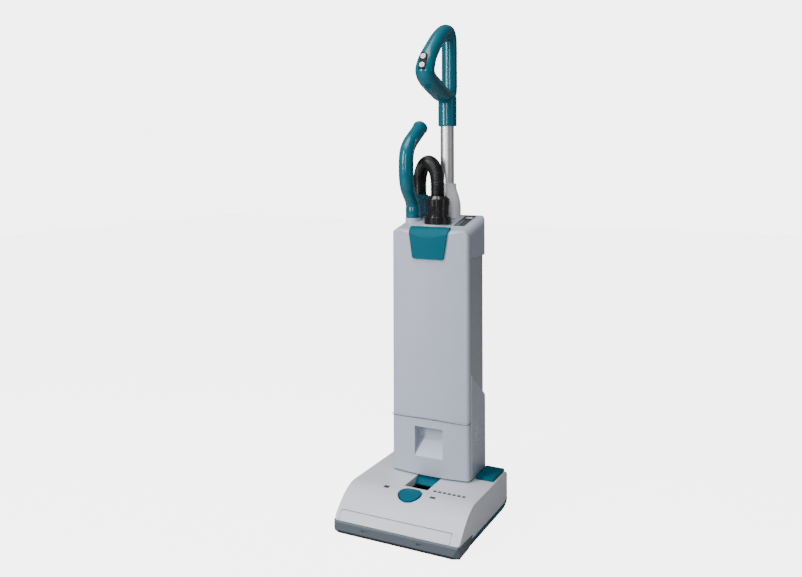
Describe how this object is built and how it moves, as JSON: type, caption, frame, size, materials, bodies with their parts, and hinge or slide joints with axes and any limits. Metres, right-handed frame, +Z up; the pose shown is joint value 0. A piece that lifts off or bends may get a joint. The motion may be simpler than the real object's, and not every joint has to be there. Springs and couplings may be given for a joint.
{
  "type": "upright vacuum cleaner",
  "caption": "Cordless upright vacuum cleaner with a brush head on wheels, a tall bag body, a lift-out hose handle and a loop grip on a pole.",
  "frame": {"origin": "on the floor, in the middle of the footprint from the bumper front to the back of the body", "axes": "+Z up, -Y towards the front bumper, +X to the right when seen from the front"},
  "size_m": [0.303, 0.366, 1.1866],
  "materials": {
    "cover_plastic": "satin",
    "body_plastic": "satin",
    "teal_plastic": "gloss",
    "chassis_plastic": "satin",
    "bumper_plastic": "matte",
    "black_plastic": "satin",
    "display_plastic": "gloss",
    "grey_plastic": "matte",
    "button_plastic": "satin",
    "hose_plastic": "satin",
    "black_rubber": "matte",
    "tyre_rubber": "matte",
    "pole_metal": "satin",
    "steel": "satin",
    "motor_metal": "satin",
    "bristle": "matte",
    "filter_fleece": "matte",
    "foam": "matte",
    "bag_fleece": "matte"
  },
  "bodies": {
    "head": {"head_chassis": "chassis_plastic", "head_cover": "cover_plastic", "front_cover": "cover_plastic", "bumper": "bumper_plastic", "bumper_lip": "black_rubber", "sole_plate": "black_plastic", "sole_screws": "steel", "air_duct": "black_plastic", "window_ramp": "teal_plastic", "brush_bearings": "grey_plastic", "brush_motor": "steel", "drive_belt": "black_rubber", "neck_bearings": "grey_plastic", "rear_axles": "steel", "pedal_pin": "steel"},
    "brush": {"brush_core": "grey_plastic", "brush_bristles": "bristle", "brush_pulley": "grey_plastic"},
    "motor_drive": {"motor_pinion": "motor_metal"},
    "rear_wheel_left": {"rear_hub_left": "grey_plastic", "rear_tyre_left": "tyre_rubber"},
    "rear_wheel_right": {"rear_hub_right": "grey_plastic", "rear_tyre_right": "tyre_rubber"},
    "carriage": {"front_carriage": "grey_plastic"},
    "roller_left": {"front_roller_left": "tyre_rubber"},
    "roller_right": {"front_roller_right": "tyre_rubber"},
    "dial": {"height_dial": "teal_plastic"},
    "pedal": {"release_pedal": "teal_plastic"},
    "upright": {"neck": "grey_plastic", "lower_housing": "body_plastic", "rear_housing": "body_plastic", "top_cap": "body_plastic", "filter_tray": "grey_plastic", "motor_filter": "foam", "suction_motor": "motor_metal", "fan_housing": "motor_metal", "motor_mount": "black_rubber", "exhaust_filter": "filter_fleece", "air_pipe": "black_plastic", "dust_bag": "bag_fleece", "bag_collar": "grey_plastic", "battery_tray": "black_plastic", "battery_packs": "chassis_plastic", "display_panel": "display_plastic", "pole_collar": "cover_plastic", "pole": "pole_metal", "handle_grip": "teal_plastic", "switch_pad": "black_plastic", "hose_cuff": "black_plastic", "hose": "hose_plastic"},
    "fan": {"fan_rotor": "motor_metal"},
    "door": {"bag_door": "body_plastic", "door_seal": "black_rubber", "latch_pin": "steel"},
    "latch": {"door_latch": "teal_plastic"},
    "battery_door": {"battery_cover": "body_plastic"},
    "power_switch": {"power_button": "button_plastic"},
    "mode_switch": {"mode_button": "button_plastic"},
    "lock_switch": {"lock_button": "teal_plastic"},
    "hose_wand": {"hose_handle": "teal_plastic"}
  },
  "joints": [
    {"name": "brush_spin", "type": "hinge", "parent": "head", "child": "brush", "pos_m": [0, -0.131, 0.026], "axis": [1, 0, 0], "continuous": true},
    {"name": "brush_motor_spin", "type": "hinge", "parent": "head", "child": "motor_drive", "pos_m": [-0.121, -0.059, 0.04], "axis": [1, 0, 0], "continuous": true},
    {"name": "rear_wheel_left_spin", "type": "hinge", "parent": "head", "child": "rear_wheel_left", "pos_m": [-0.125, 0.12, 0.032], "axis": [1, 0, 0], "continuous": true},
    {"name": "rear_wheel_right_spin", "type": "hinge", "parent": "head", "child": "rear_wheel_right", "pos_m": [0.125, 0.12, 0.032], "axis": [1, 0, 0], "continuous": true},
    {"name": "height_dial_turn", "type": "hinge", "parent": "head", "child": "dial", "pos_m": [0, -0.091, 0.07], "axis": [0, 0, 1], "range_deg": [-40, 40]},
    {"name": "carriage_slide", "type": "slide", "parent": "head", "child": "carriage", "axis": [0, 0, 1], "range_m": [-0.003, 0.003]},
    {"name": "roller_left_spin", "type": "hinge", "parent": "carriage", "child": "roller_left", "pos_m": [-0.098, -0.09, 0.012], "axis": [1, 0, 0], "continuous": true},
    {"name": "roller_right_spin", "type": "hinge", "parent": "carriage", "child": "roller_right", "pos_m": [0.098, -0.09, 0.012], "axis": [1, 0, 0], "continuous": true},
    {"name": "pedal_press", "type": "hinge", "parent": "head", "child": "pedal", "pos_m": [0.1222, 0.071, 0.084], "axis": [-1, 0, 0], "range_deg": [0, 8], "stiffness_Nm_per_rad": 0.6, "springref_deg": -9.74},
    {"name": "recline", "type": "hinge", "parent": "head", "child": "upright", "pos_m": [0, 0.138, 0.058], "axis": [-1, 0, 0], "range_deg": [0, 80]},
    {"name": "fan_spin", "type": "hinge", "parent": "upright", "child": "fan", "pos_m": [0.018, 0.117, 0.21], "axis": [0, 0, 1], "continuous": true},
    {"name": "bag_door_open", "type": "hinge", "parent": "upright", "child": "door", "pos_m": [0, 0.022, 0.2295], "axis": [1, 0, 0], "range_deg": [0, 70]},
    {"name": "latch_lift", "type": "hinge", "parent": "door", "child": "latch", "pos_m": [0, 0.039, 0.669], "axis": [-1, 0, 0], "range_deg": [0, 14], "stiffness_Nm_per_rad": 0.2, "springref_deg": -11.46},
    {"name": "battery_cover_open", "type": "hinge", "parent": "upright", "child": "battery_door", "pos_m": [0, 0.1665, 0.5699], "axis": [1, 0, 0], "range_deg": [0, 100]},
    {"name": "power_button_press", "type": "slide", "parent": "upright", "child": "power_switch", "axis": [0, 0.9511, -0.309], "range_m": [0, 0.0012], "stiffness_N_per_m": 500, "springref_m": -0.001},
    {"name": "mode_button_press", "type": "slide", "parent": "upright", "child": "mode_switch", "axis": [0, 0.9511, -0.309], "range_m": [0, 0.0012], "stiffness_N_per_m": 500, "springref_m": -0.001},
    {"name": "lock_button_press", "type": "slide", "parent": "upright", "child": "lock_switch", "axis": [0, -1, 0], "range_m": [0, 0.0012], "stiffness_N_per_m": 500, "springref_m": -0.001},
    {"name": "hose_handle_lift", "type": "slide", "parent": "upright", "child": "hose_wand", "axis": [0, 0, 1], "range_m": [0, 0.09], "deforming": ["hose"]}
  ],
  "couplings": [
    {"joint": "brush_motor_spin", "follows": "brush_spin", "ratio": 2.5},
    {"joint": "height_dial_turn", "follows": "carriage_slide", "rad_per_m": 230}
  ]
}
